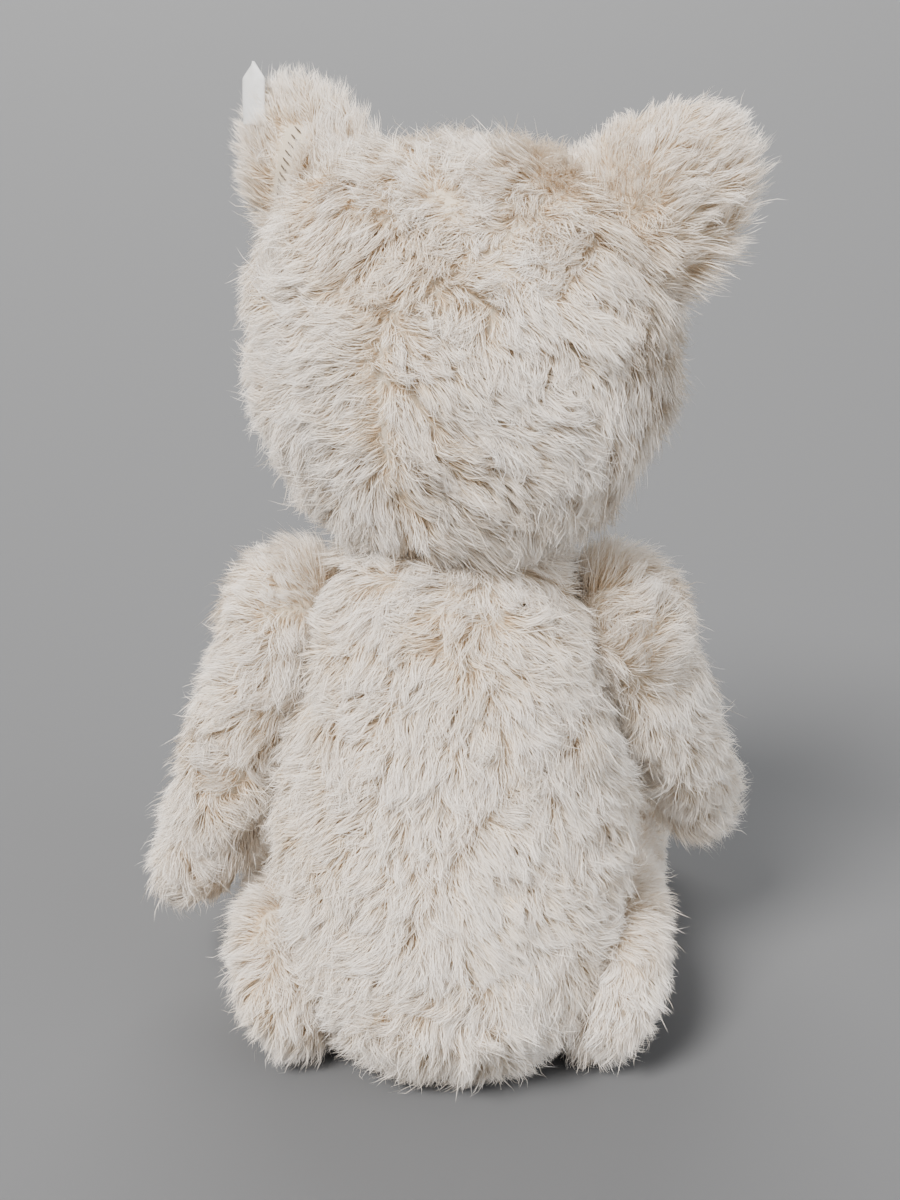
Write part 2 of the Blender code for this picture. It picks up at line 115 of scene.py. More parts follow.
def pile_shade(name, colour):
    """One shade of mohair fibre. Each fibre takes several, from its root to its tip."""
    mat, nodes, links, shader = material(name)
    where = nodes.new("ShaderNodeTexCoord")
    noise = nodes.new("ShaderNodeTexNoise")
    noise.inputs["Scale"].default_value = 260.0
    noise.inputs["Detail"].default_value = 3.0
    gloss = nodes.new("ShaderNodeMapRange")
    gloss.inputs["From Min"].default_value = 0.3
    gloss.inputs["From Max"].default_value = 0.7
    gloss.inputs["To Min"].default_value = 0.12
    gloss.inputs["To Max"].default_value = 0.60
    links.new(where.outputs["Object"], noise.inputs["Vector"])
    links.new(noise.outputs["Fac"], gloss.inputs["Value"])
    links.new(gloss.outputs["Result"], shader.inputs["Specular IOR Level"])
    shader.inputs["Base Color"].default_value = (*colour, 1)
    shader.inputs["Roughness"].default_value = 0.55
    shader.inputs["Sheen Weight"].default_value = 0.15
    return mat


PILE = [pile_shade(f"mohair_{name}", colour) for name, colour in (
    ("root_dark", (0.62, 0.455, 0.28)),
    ("root", (0.74, 0.58, 0.40)),
    ("low", (0.82, 0.685, 0.52)),
    ("low_pale", (0.875, 0.765, 0.63)),
    ("mid", (0.91, 0.815, 0.70)),
    ("mid_pale", (0.935, 0.85, 0.75)),
    ("tip", (0.955, 0.885, 0.80)),
    ("tip_white", (0.975, 0.92, 0.855)),
)]

# ---------------------------------------------------------------- shapes


def hermite(x, knots, values):
    """Cubic through the knots, for an array of places."""
    knots, values = np.asarray(knots, float), np.asarray(values, float)
    x = np.clip(x, knots[0], knots[-1])
    i = np.clip(np.searchsorted(knots, x, side="right") - 1, 0, len(knots) - 2)
    low, high = np.maximum(np.arange(len(knots)) - 1, 0), np.minimum(
        np.arange(len(knots)) + 1, len(knots) - 1)
    slope = (values[high] - values[low]) / (knots[high] - knots[low])
    h = knots[i + 1] - knots[i]
    t = (x - knots[i]) / h
    return (values[i] * (1 + 2 * t) * (1 - t) ** 2 + slope[i] * h * t * (1 - t) ** 2
            + values[i + 1] * t * t * (3 - 2 * t) + slope[i + 1] * h * t * t * (t - 1))


def capped(k, start, end, cap0, cap1, share=0.3):
    """Place along a form and its width there, with a round cap at each end."""
    k = np.asarray(k, float)
    first = np.clip(k / share, 0, 1) * math.pi / 2
    last = np.clip((1 - k) / share, 0, 1) * math.pi / 2
    t = np.clip((k - share) / (1 - 2 * share), 0, 1)
    s = np.where(k < share, cap0 * (1 - np.cos(first)),
                 np.where(k > 1 - share, 1 - cap1 * (1 - np.cos(last)),
                          cap0 + (1 - cap0 - cap1) * t))
    w = np.where(k < share, np.sin(first), np.where(k > 1 - share, np.sin(last), 1.0))
    return start + (end - start) * s, w


# Half widths and middle lines of the forms, at stations along each of them.
TORSO = {
    "z": (-0.008, 0.030, 0.050, 0.082, 0.115, 0.148, 0.184, 0.240),
    "x": (0.0660, 0.0685, 0.0700, 0.0725, 0.0710, 0.0655, 0.0570, 0.0470),
    "y": (0.0700, 0.0730, 0.0745, 0.0750, 0.0715, 0.0650, 0.0575, 0.0480),
    "mid": (0.0140, 0.0120, 0.0100, 0.0080, 0.0070, 0.0085, 0.0110, 0.0130),
}
HEAD = {
    "y": (0.078, 0.050, 0.020, -0.010, -0.035, -0.052, -0.066, -0.085, -0.112),
    "x": (0.0740, 0.0785, 0.0800, 0.0790, 0.0710, 0.0550, 0.0420, 0.0350, 0.0300),
    "mid": (0.0730, 0.0720, 0.0710, 0.0690, 0.0660, 0.0600, 0.0510, 0.0455, 0.0430),
    "up": (0.0740, 0.0765, 0.0775, 0.0770, 0.0700, 0.0520, 0.0380, 0.0310, 0.0270),
    "down": (0.0760, 0.0810, 0.0820, 0.0780, 0.0680, 0.0520, 0.0400, 0.0330, 0.0280),
}
ARM = {
    "l": (-0.028, 0.000, 0.040, 0.080, 0.114, 0.141, 0.158),
    "f": (0.0255, 0.0265, 0.0255, 0.0235, 0.0220, 0.0225, 0.0205),
    "w": (0.0220, 0.0225, 0.0210, 0.0190, 0.0175, 0.0170, 0.0165),
    "bend": (-0.0010, 0.0000, -0.0030, -0.0030, 0.0020, 0.0110, 0.0190),
    "out": (0.0165, 0.0165, 0.0180, 0.0195, 0.0200, 0.0200, 0.0200),
}
LEG = {
    "l": (-0.033, 0.000, 0.042, 0.086, 0.120, 0.142, 0.160, 0.184),
    "toe": (0.0310, 0.0320, 0.0310, 0.0265, 0.0250, 0.0330, 0.0460, 0.0520),
    "heel": (0.0320, 0.0330, 0.0320, 0.0280, 0.0245, 0.0245, 0.0265, 0.0275),
    "w": (0.0215, 0.0215, 0.0220, 0.0215, 0.0205, 0.0225, 0.0250, 0.0260),
}


def torso_shape(k, a):
    z, w = capped(k, -0.008, 0.240, 0.240, 0.226)
    rx, ry, cy = (hermite(z, TORSO["z"], TORSO[c]) for c in ("x", "y", "mid"))
    return np.stack([rx * w * np.cos(a), cy + ry * w * np.sin(a), z], -1)


def head_shape(k, a):
    y, w = capped(k, 0.078, -0.112, 0.32, 0.11)
    key = [-v for v in HEAD["y"]]
    rx, mid, up, down = (hermite(-y, key, HEAD[c]) for c in ("x", "mid", "up", "down"))
    c, s = np.cos(a), np.sin(a)
    square = np.where(s > 0, 2 / 2.45, 2 / 2.3)
    x = rx * np.sign(c) * np.abs(c) ** square
    z = np.where(s > 0, up, down) * np.sign(s) * np.abs(s) ** square
    x = np.where(s < 0, x * (1 - 0.20 * np.abs(s) ** 1.5), x)
    return np.stack([x * w, y - NECK_Y, mid + z * w], -1)


def arm_shape(k, a):
    l, w = capped(k, -0.028, 0.158, 0.155, 0.12)
    rf, rw, bend, out = (hermite(l, ARM["l"], ARM[c]) for c in ("f", "w", "bend", "out"))
    return np.stack([l, bend + rf * w * np.cos(a), out + rw * w * np.sin(a)], -1)


def leg_shape(k, a):
    l, w = capped(k, -0.033, 0.186, 0.155, 0.085)
    toe, heel, rw = (hermite(l, LEG["l"], LEG[c]) for c in ("toe", "heel", "w"))
    out = 0.0155 + np.maximum(l - 0.012, 0) * math.tan(math.radians(SPLAY))
    r = np.where(np.cos(a) > 0, toe, heel)
    return np.stack([l, r * w * np.cos(a), out + rw * w * np.sin(a)], -1)


def ear_shape(k, a):
    """The ear's own ball, its poles on the two faces, its rim curled forwards."""
    r, h = np.sin(k * math.pi), np.cos(k * math.pi)
    rim = r * r
    return np.stack([r * np.cos(a) * EAR_TALL, r * np.sin(a) * EAR_WIDE,
                     h * EAR_THICK * (1 - 0.25 * rim) - EAR_CUP * rim], -1)


def frame_of(origin, along, axis):
    """A frame with its z on axis and its x as near to along as it can be."""
    z = axis.normalized()
    x = (along - z * along.dot(z)).normalized()
    m = Matrix((x, z.cross(x), z)).transposed().to_4x4()
    m.translation = Vector(origin)
    return m


def arm_frame(side):
    t = math.radians(SHOULDER_TILT)
    axis = Vector((side * math.cos(t), 0, math.sin(t)))
    down = Vector((side * math.sin(t), 0, -math.cos(t)))
    p = math.radians(ARM_FORWARD[side])
    along = down * math.cos(p) + Vector((0, -1, 0)) * math.sin(p)
    return frame_of((side * SHOULDER[0], SHOULDER[1], SHOULDER[2]), along, axis)


def leg_frame(side):
    b, a = math.radians(HIP_TILT), math.radians(HIP_IN)
    axis = Vector((side * math.cos(b) * math.cos(a), -math.cos(b) * math.sin(a), -math.sin(b)))
    ahead = Vector((-side * math.sin(a), -math.cos(a), 0))
    down = axis.cross(ahead) * side
    p = math.radians(LEG_DOWN)
    along = ahead * math.cos(p) + down * math.sin(p)
    return frame_of((side * HIP[0], HIP[1], HIP[2]), along, axis)


def ear_frame(side):
    t = math.radians(EAR_LEAN)
    out = Vector((side * math.cos(t), 0.0, math.sin(t)))
    back = Vector((side * 0.15, 0.98, 0)).normalized()
    return frame_of((side * EAR_AT[0], EAR_AT[1], EAR_AT[2]), out, back)


PLACE = Matrix.Translation(SHIFT)
NECK = PLACE @ Matrix.Translation((0, NECK_Y, NECK_Z)) @ Matrix.Rotation(
    math.radians(HEAD_TURN), 4, "Z")


def hip_fade(v):
    """How fully a leg flattens the torso: all the way ahead of the hip, not at all behind."""
    t = np.clip((v[:, 1] - HIP[1] - 0.036) / 0.022, 0, 1)
    return 1.0 - t ** 2 * (3 - 2 * t)


def smoothstep(x, low, high):
    t = np.clip((x - low) / (high - low), 0, 1)
    return t * t * (3 - 2 * t)


def press(v, planes, inset):
    """Points past any of the planes, each moved back on to it."""
    for point, normal, fade in planes:
        n = np.array(normal)
        d = (v - np.array(point)) @ n + inset
        share = fade(v) if fade else 1.0
        v = v - np.where(d > 0, d * share, 0)[:, None] * n
    return v


SPLIT = 0.00025         # half the gap between two bodies where a joint parts them
FLAT = [((0, 0, SPLIT), (0, 0, -1), None)]


def torso_planes():
    faces = [((0, 0, NECK_Z - SPLIT), (0, 0, 1), None)]
    for side in SIDES:
        for m, fade in ((arm_frame(side), None), (leg_frame(side), hip_fade)):
            axis = m.col[2].to_3d()
            faces.append((m.translation - axis * SPLIT, axis, fade))
    faces.append(((0, 0, 0), (0, 0, -1), None))
    return faces


def link(me):
    """An object of the mesh's own name, in the scene."""
    ob = bpy.data.objects.new(me.name, me)
    scene.collection.objects.link(ob)
    return ob


class Form:
    """A soft form: its cloth surface as arrays, in its own frame, and where it goes."""

    def __init__(self, name, body, shape, place, planes, flip=1, sides=56, rings=44,
                 inset=BACKING, lump=0.0008):
        self.name, self.body, self.place = name, body, place
        k = np.linspace(0, 1, rings + 1)[1:-1]
        a = np.arange(sides) / sides * math.tau
        kk, aa = np.meshgrid(k, a, indexing="ij")
        kk = np.concatenate([[0], kk.ravel(), [1]])
        aa = np.concatenate([[0], aa.ravel(), [0]])
        one = np.array([1, flip, 1])
        p = shape(kk, aa) * one
        n = len(kk)
        ring = np.arange(1, n - 1).reshape(rings - 1, sides)
        nxt = np.roll(ring, -1, 1)
        quads = np.stack([ring[:-1], ring[1:], nxt[1:], nxt[:-1]], -1).reshape(-1, 4)
        first = np.stack([np.zeros(sides, int), ring[0], nxt[0]], -1)
        last = np.stack([np.full(sides, n - 1), nxt[-1], ring[-1]], -1)
        tris = np.concatenate([quads[:, [0, 1, 2]], quads[:, [0, 2, 3]], first, last])
        normal = np.zeros_like(p)
        face = np.cross(p[tris[:, 1]] - p[tris[:, 0]], p[tris[:, 2]] - p[tris[:, 0]])
        for i in range(3):
            np.add.at(normal, tris[:, i], face)
        if ((p - p.mean(0)) * normal).sum() < 0:
            normal, quads, tris = -normal, quads[:, ::-1], tris[:, ::-1]
            first, last = first[:, ::-1], last[:, ::-1]
        normal /= np.linalg.norm(normal, axis=1)[:, None] + 1e-12
        lumps = waves(p, 0.030, 7, 10)[:, 0] * lump
        p = press(p - normal * (inset - lumps)[:, None], planes, inset)
        self.v, self.n, self.tris = p, normal, tris
        self.faces = [tuple(f) for f in quads] + [tuple(f) for f in first] + [
            tuple(f) for f in last]

    def world(self, p):
        m = np.array(self.place)
        return p @ m[:3, :3].T + m[:3, 3]

    def make(self, mat):
        me = bpy.data.meshes.new(f"{self.name}_cloth")
        me.from_pydata([tuple(p) for p in self.world(self.v)], [], self.faces)
        me.polygons.foreach_set("use_smooth", [True] * len(me.polygons))
        me.materials.append(mat)
        return link(me)


def waves(p, length, seed, count=14):
    """Smooth noise, three values a point, of about the given wavelength: a sum of sines."""
    rng = np.random.default_rng(seed)
    d = rng.normal(size=(count, 3))
    d /= np.linalg.norm(d, axis=1)[:, None]
    d *= math.tau / (length * rng.uniform(0.6, 1.7, count))[:, None]
    out = np.zeros((len(p), 3))
    for c in range(3):
        phase = rng.uniform(0, math.tau, count)
        amp = rng.uniform(0.5, 1.0, count)
        out[:, c] = (np.sin(p @ d.T + phase) * amp).sum(1) / math.sqrt((amp ** 2).sum() / 2)
    return out * 0.7


# ---------------------------------------------------------------- pile

STEPS = np.array([0.0, 0.26, 0.52, 0.78, 1.0])      # places along a fibre, root to tip
FIBRE = 0.00026         # width of a fibre ribbon at full density
ROOTED = 0.0006         # how deep a fibre starts under the cloth
SHORTEST = 0.0012       # anything shorter is left out
REACH = 0.0125          # how far the pile may stand past the frame's box
PER_PIECE = 28000       # fibres in one piece, at most


def unit(v):
    return v / (np.linalg.norm(v, axis=-1, keepdims=True) + 1e-12)


def nearest(points, centres):
    tree = KDTree(len(centres))
    for i, c in enumerate(centres):
        tree.insert(c, i)
    tree.balance()
    find = tree.find
    return np.fromiter((find(p)[1] for p in points.tolist()), int, len(points))


def grow(form, flow, length, seed, keep=None, warm=None, crowd=None, per_mm2=1.65,
         lift=(0.84, 0.20), lock=0.012):
    """Combed mohair over a form. flow and length are functions of the roots and normals."""
    rng = np.random.default_rng(seed)
    v, tris = form.v, form.tris
    a, b, c = v[tris[:, 0]], v[tris[:, 1]], v[tris[:, 2]]
    area = np.linalg.norm(np.cross(b - a, c - a), axis=1) / 2
    if crowd is not None:
        area = area * crowd((a + b + c) / 3)
    count = int(area.sum() * 1e6 * per_mm2 * DENSITY)
    width = FIBRE / math.sqrt(DENSITY)
    pick = rng.choice(len(tris), count, p=area / area.sum())
    r1, r2 = np.sqrt(rng.random(count)), rng.random(count)
    w = np.stack([1 - r1, r1 * (1 - r2), r1 * r2], -1)[:, :, None]
    t = tris[pick]
    root = (v[t] * w).sum(1)
    normal = unit((form.n[t] * w).sum(1))
    tall = length(root, normal)
    if keep is not None:
        tall = np.where(keep(root, normal), tall, 0)
    alive = tall > SHORTEST
    root, normal, tall = root[alive], normal[alive], tall[alive]
    count = len(root)
    comb = flow(root, normal)
    comb = comb + waves(root, 0.050, seed + 1) * 0.42

    locks = max(8, int(area.sum() / lock ** 2))
    big = rng.choice(count, min(locks, count), replace=False)
    mine = nearest(root, root[big])
    fine = rng.choice(count, min(locks * 9, count), replace=False)
    mine_fine = nearest(root, root[fine])
    turn = rng.normal(size=(len(big), 3)) * 0.27
    turn_fine = rng.normal(size=(len(fine), 3)) * 0.15
    comb = comb + turn[mine] + turn_fine[mine_fine] + rng.normal(size=(count, 3)) * 0.10
    comb = comb - normal * (comb * normal).sum(1)[:, None]
    comb = unit(comb)
    side = np.cross(normal, comb)
    size = (rng.uniform(0.86, 1.12, len(big))[mine]
            * rng.uniform(0.82, 1.1, len(fine))[mine_fine] * rng.uniform(0.70, 1.06, count))
    stray = rng.random(count) < 0.035
    size = np.where(stray, size * 1.22, size)
    tall = tall * size
    rise = lift[0] + 0.10 * rng.normal(size=count) + 0.12 * rng.normal(size=len(big))[mine]
    fall = lift[1] + 0.07 * rng.normal(size=count) + 0.12 * rng.normal(size=len(big))[mine]
    fall = np.where(stray, fall + 0.25, fall)
    phase = rng.uniform(0, math.tau, len(fine))[mine_fine] + rng.normal(size=count) * 0.5
    beat = rng.uniform(0.7, 1.3, len(fine))[mine_fine]
    amp = rng.uniform(0.03, 0.09, len(fine))[mine_fine]
    bend = (rng.normal(size=len(big))[mine] * 0.45 + rng.normal(size=len(fine))[mine_fine]
            * 0.60 + rng.normal(size=count) * 0.15)

    path = np.zeros((count, len(STEPS), 3))
    at = root - normal * ROOTED
    path[:, 0] = at
    for i in range(1, len(STEPS)):
        mid = (STEPS[i] + STEPS[i - 1]) / 2
        up = np.clip(rise + (fall - rise) * mid ** 0.8, -0.25, 0.97)
        turned = comb * np.cos(bend * mid)[:, None] + side * np.sin(bend * mid)[:, None]
        step = normal * up[:, None] + turned * np.sqrt(1 - up ** 2)[:, None]
        at = at + step * (tall * (STEPS[i] - STEPS[i - 1]))[:, None]
        wave = amp * np.sin(phase + beat * math.tau * STEPS[i] * 1.3)
        path[:, i] = at + side * (wave * tall * STEPS[i] ** 0.5)[:, None]

    def gather(centres, member, pull):
        for i in range(1, len(STEPS)):
            share = pull * STEPS[i] ** 1.4
            target = path[centres[member], i]
            gap = target - path[:, i]
            gap -= normal * (gap * normal).sum(1)[:, None]
            path[:, i] += gap * share[:, None]

    gather(fine, mine_fine, np.clip(rng.normal(0.42, 0.18, count), 0.0, 0.8) * ~stray)
    gather(big, mine, np.clip(rng.normal(0.24, 0.14, count), 0.0, 0.55) * ~stray)

    m = np.array(form.place)
    path = path @ m[:3, :3].T + m[:3, 3]
    out = normal @ m[:3, :3].T
    if form.body != "head":
        low = 0.0005 + rng.uniform(0, 0.0016, count)[:, None] * STEPS[None, :]
        path[:, :, 2] = np.maximum(path[:, :, 2], low)

    along = np.zeros_like(path)
    along[:, 1:-1] = path[:, 2:] - path[:, :-2]
    along[:, 0] = path[:, 1] - path[:, 0]
    along[:, -1] = path[:, -1] - path[:, -2]
    twist = out[:, None, :] + rng.normal(size=(count, 1, 3)) * 0.45
    across = unit(np.cross(along, twist))
    taper = np.array([[1.0, 1.0, 0.9, 0.62]])
    wide = width * rng.uniform(0.75, 1.25, count)[:, None] * taper
    half = across[:, :4] * wide[:, :, None] / 2
    points = np.concatenate([path[:, :4] - half, path[:, :4] + half, path[:, 4:]], 1)

    tone = rng.normal(size=count) * 0.55 + rng.normal(size=len(big))[mine] * 0.45 + (
        waves(root, 0.06, seed + 5)[:, 0] * 0.35)
    if warm is not None:
        tone = tone - warm(root) * 2.2
    shade = np.stack([1.0 + tone * 0.6, 3.0 + tone * 0.9, 4.8 + tone, 6.0 + tone], -1)
    shade = np.clip(np.round(shade), 0, len(PILE) - 1).astype(int)

    near = ((path > np.array(cad_box[0]) - REACH) & (path < np.array(cad_box[1]) + REACH)).all(
        axis=(1, 2))
    points, shade, root = points[near], shade[near], root[near]
    parts = max(1, math.ceil(len(root) / PER_PIECE))
    order = np.argsort(root @ np.array([0.2, 1.0, 0.3]), kind="stable")
    for i, chunk in enumerate(np.array_split(order, parts)):
        ribbons(f"{form.name}_pile_{i + 1}", points[chunk], shade[chunk], form.body)


def ribbons(name, points, shade, body):
    """Tapered ribbons: three quads and a tip each, four shades from root to tip."""
    n = len(points)
    base = np.arange(n)[:, None] * 9
    quads = np.concatenate([base + np.array([[i, i + 1, i + 5, i + 4]]) for i in range(3)], 1)
    tip = base + np.array([[3, 8, 7]])
    loops = np.concatenate([quads, tip], 1).ravel()
    starts = (np.arange(n)[:, None] * 15 + np.array([[0, 4, 8, 12]])).ravel()
    me = bpy.data.meshes.new(name)
    me.vertices.add(n * 9)
    me.vertices.foreach_set("co", points.astype(np.float32).ravel())
    me.loops.add(n * 15)
    me.loops.foreach_set("vertex_index", loops.astype(np.int32))
    me.polygons.add(n * 4)
    me.polygons.foreach_set("loop_start", starts.astype(np.int32))
    me.polygons.foreach_set("use_smooth", np.ones(n * 4, bool))
    for mat in PILE:
        me.materials.append(mat)
    me.polygons.foreach_set("material_index", shade.ravel().astype(np.int32))
    me.update(calc_edges=True)
    ob = link(me)
    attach(ob, body)


# ---------------------------------------------------------------- forms

BACK_CLOTH = cloth("mohair_backing", (0.52, 0.41, 0.28), (0.78, 0.68, 0.54), 1400, 0.6)


def finish_form(form, *nodes):
    ob = form.make(BACK_CLOTH)
    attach(ob, form.body)
    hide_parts(*nodes)


def clear_of(points, near, far):
    """Length factor: none of the pile within near of any of the points, all of it past far."""
    def factor(p):
        d = np.min([np.linalg.norm(p - np.array(q), axis=1) for q in points], axis=0)
        return smoothstep(d, near, far)
    return factor


def local(form, v):
    """A world direction in the form's own frame."""
    return np.array(form.place.to_3x3().inverted() @ Vector(v))


def spot(p, where, reach):
    """1 at a place, falling to 0 at reach from it."""
    return 1 - smoothstep(np.linalg.norm(p - np.array(where), axis=1), 0.0, reach)


def to_line(p, line):
    """Distance of flat points from a chain of straight parts."""
    best = np.full(len(p), 1.0)
    for a, b in zip(line, line[1:]):
        a, b = np.array(a), np.array(b)
        t = np.clip((p - a) @ (b - a) / ((b - a) @ (b - a)), 0, 1)
        best = np.minimum(best, np.linalg.norm(p - a - t[:, None] * (b - a), axis=1))
    return best


def torso():
    form = Form("torso", "torso", torso_shape, PLACE, torso_planes())
    finish_form(form, "torso_skin")
    joints = [tuple(arm_frame(s).translation) for s in SIDES] + [
        tuple(leg_frame(s).translation) for s in SIDES]
    gap = clear_of(joints, 0.008, 0.020)
    top = clear_of([(0, NECK_Y, NECK_Z)], 0.014, 0.030)
    whorl = np.array((-0.004, 0.062, 0.198))

    def flow(p, n):
        d = np.zeros_like(p)
        d[:, 2] = -1.0
        d[:, 0] = 0.45 * np.sign(p[:, 0]) * smoothstep(np.abs(p[:, 0]), 0.0, 0.03)
        near = 1 - smoothstep(np.linalg.norm((p - whorl) * (0.55, 1, 1), axis=1), 0.008, 0.032)
        away = (p - whorl) * (45, 20, 90)
        away[:, 0] += 0.4
        return d + (away - d) * 0.8 * near[:, None]

    def length(p, n):
        seat = 0.65 + 0.35 * smoothstep(p[:, 2], 0.0, 0.012)
        seam = 0.72 + 0.28 * smoothstep(np.abs(p[:, 0]), 0.001, 0.004)
        return 0.0170 * np.maximum(gap(p), 0.30) * np.maximum(top(p), 0.2) * seat * seam

    def warm(p):
        return (spot(p, whorl, 0.030) * 0.45 + spot(p, (0.055, 0.050, 0.115), 0.035) * 0.7
                + spot(p, (-0.045, 0.055, 0.06), 0.03) * 0.3)
    grow(form, flow, length, 11, warm=warm)
    return form


BACK_POINT = (0.0, 0.098)      # where the top gusset of the head ends behind, across and up
GUSSET = [BACK_POINT, (0.014, 0.105), (0.032, 0.119), (0.048, 0.137)]
GUSSET_TOP = [(0.050, -0.012), (0.041, -0.050), (0.024, -0.078), (0.010, -0.122)]
MOUTH = [[(0, 0.0440), (0, 0.0345)], [(0, 0.0350), (0.0120, 0.0290)],
         [(0, 0.0350), (-0.0120, 0.0290)]]
NOSE = (0, -0.1085 - NECK_Y, 0.0520)
NOSE_WIDE, NOSE_FLARE = 0.0131, 0.22       # half width, and how much wider it is at the top
EYE_RADIUS, EYE_OUT = 0.0068, 0.0050


def eye_frame(side):
    k, a = np.array([0.575, 0.575, 0.580]), math.pi / 2 - side * 0.73
    p, q, r = (Vector(x) for x in head_shape(k, np.array([a, a + 0.01, a])))
    across = (q - p).cross(r - p).normalized()
    if across.y > 0:
        across = -across
    return frame_of(p, Vector((0, 0, 1)), across)


def head():
    form = Form("head", "head", head_shape, NECK, FLAT, sides=64, rings=52)
    finish_form(form, "head_skin")
    under = clear_of([(0, 0, 0)], 0.022, 0.034)
    tip = np.array((0, -0.112 - NECK_Y, 0.045))
    eyes = [tuple(eye_frame(s).translation) for s in SIDES]
    by_eye = clear_of(eyes, 0.004, 0.014)

    def seams(p):
        flat = np.stack([np.abs(p[:, 0]), p[:, 2]], -1)
        behind = smoothstep(p[:, 1], 0.0, 0.02)
        d = np.minimum(to_line(flat, GUSSET), to_line(flat, [(0, 0.0), BACK_POINT]))
        over = np.stack([np.abs(p[:, 0]), p[:, 1]], -1)
        front = np.where(p[:, 2] > 0.06, to_line(over, GUSSET_TOP), 1.0)
        return np.where(behind > 0.5, d, front)

    def inside(p):
        """1 within the gusset, 0 on the cheeks and the sides of the back of the head."""
        edge = np.interp(p[:, 2], [0.098, 0.105, 0.119, 0.137], [0.0, 0.014, 0.032, 0.048])
        behind = (np.abs(p[:, 0]) < edge) & (p[:, 2] > 0.098)
        wide = np.interp(-p[:, 1], [0.012, 0.050, 0.078, 0.122], [0.050, 0.041, 0.024, 0.010])
        over = (np.abs(p[:, 0]) < wide) & (p[:, 2] > 0.062)
        return np.where(p[:, 1] > 0.010, behind, over)

    def flow(p, n):
        out = np.sign(p[:, 0])
        back = smoothstep(p[:, 1], -0.02, 0.03)
        side = np.stack([out * 0.9, 0.6 * (1 - back), -0.55 - 0.6 * smoothstep(
            -p[:, 2], -0.09, -0.02)], -1)
        middle = np.stack([-p[:, 0] * 6 * back, 1 - 0.7 * back, -1.0 * back], -1)
        muzzle = 1 - smoothstep(np.linalg.norm(p - tip, axis=1), 0.035, 0.075)
        d = np.where(inside(p)[:, None], middle, side)
        return d + (np.array((0, 1.0, -0.1)) - d) * muzzle[:, None]

    def length(p, n):
        far = np.linalg.norm(p - tip, axis=1)
        face = smoothstep(far, 0.026, 0.095)
        seam = 0.60 + 0.40 * smoothstep(seams(p), 0.0010, 0.0045)
        flat = p[:, [0, 2]]
        lips = np.min([to_line(flat, part) for part in MOUTH], axis=0)
        lips = np.where(p[:, 1] < -0.08, smoothstep(lips, 0.0008, 0.0030), 1.0)
        from_nose = np.linalg.norm((p - np.array(NOSE)) / (1.15, 1, 0.9), axis=1)
        by_nose = smoothstep(from_nose, 0.010, 0.014)
        trim = 1 - 0.30 * smoothstep(p[:, 0], 0.045, 0.075)
        return ((0.0042 + 0.0128 * face) * trim * seam * lips * by_nose
                * np.maximum(under(p), 0.2) * (0.40 + 0.60 * by_eye(p)))

    def warm(p):
        return (spot(p, (0.0, 0.058, 0.112), 0.040) * 1.0 * inside(p)
                + spot(p, (0.052, 0.01, 0.125), 0.03) * 0.5
                + spot(p, (-0.052, 0.01, 0.125), 0.03) * 0.5
                + 0.7 * (1 - smoothstep(seams(p), 0.001, 0.005)))

    def crowd(p):
        return 1.0 + 1.8 * (1 - smoothstep(np.linalg.norm(p - tip, axis=1), 0.035, 0.075))
    grow(form, flow, length, 21, warm=warm, crowd=crowd)
    return form


def arm(side):
    word = SIDES[side]
    form = Form(f"arm_{word}", f"arm_{word}", arm_shape, PLACE @ arm_frame(side), FLAT, -side,
                sides=40, rings=44)
    finish_form(form, f"arm_{word}_skin")
    gap = clear_of([(0, 0, 0)], 0.010, 0.022)

    def pad(p):
        l, y = (p[:, 0] - PAW[0]) / PAW[1], (-side * p[:, 1] - PAW[2]) / PAW[3]
        return np.where(p[:, 2] < 0.016, np.hypot(l, y), 9.0)

    def flow(p, n):
        ahead = smoothstep(p[:, 0], -0.010, 0.040)[:, None]
        return np.array((1.0, 0, 0)) * ahead + np.array((0.35, 0, 1.0)) * (1 - ahead)

    def length(p, n):
        rim = 0.45 + 0.55 * smoothstep(pad(p), 1.0, 1.5)
        return 0.0165 * np.maximum(gap(p), 0.3) * rim

    def warm(p):
        return spot(p, (0.0, 0.0, 0.034), 0.034) * 0.8
    grow(form, flow, length, 31 + side, keep=lambda p, n: pad(p) > 1.0, warm=warm)
    return form


def leg(side):
    word = SIDES[side]
    planes = FLAT + [((SOLE, 0, 0), (1, 0, 0), None)]
    form = Form(f"leg_{word}", f"leg_{word}", leg_shape, PLACE @ leg_frame(side), planes, -side,
                sides=44, rings=48)
    finish_form(form, f"leg_{word}_skin")
    gap = clear_of([(0, 0, 0)], 0.013, 0.028)
    down = local(form, (0, 0, -1))

    def pad(p):
        y = -side * p[:, 1]
        y = y / np.where(y > 0, SOLE_OVAL[0], SOLE_OVAL[1])
        return np.where(p[:, 0] > 0.170, np.hypot(y, (p[:, 2] - SOLE_OUT) / SOLE_OVAL[2]), 9.0)

    def flow(p, n):
        ahead = smoothstep(p[:, 0], 0.010, 0.070)[:, None]
        return (np.array((1.0, 0, 0)) + down * 0.45) * ahead + (
            down + np.array((0.10, 0, 0.55))) * (1 - ahead)

    def length(p, n):
        rim = 0.45 + 0.55 * smoothstep(pad(p), 1.0, 1.5)
        outer = 1 - 0.50 * smoothstep(p[:, 2], 0.018, 0.034) * (side < 0)
        return 0.0160 * np.maximum(gap(p), 0.2) * rim * outer
    grow(form, flow, length, 41 + side, keep=lambda p, n: pad(p) > 1.0)
    return form


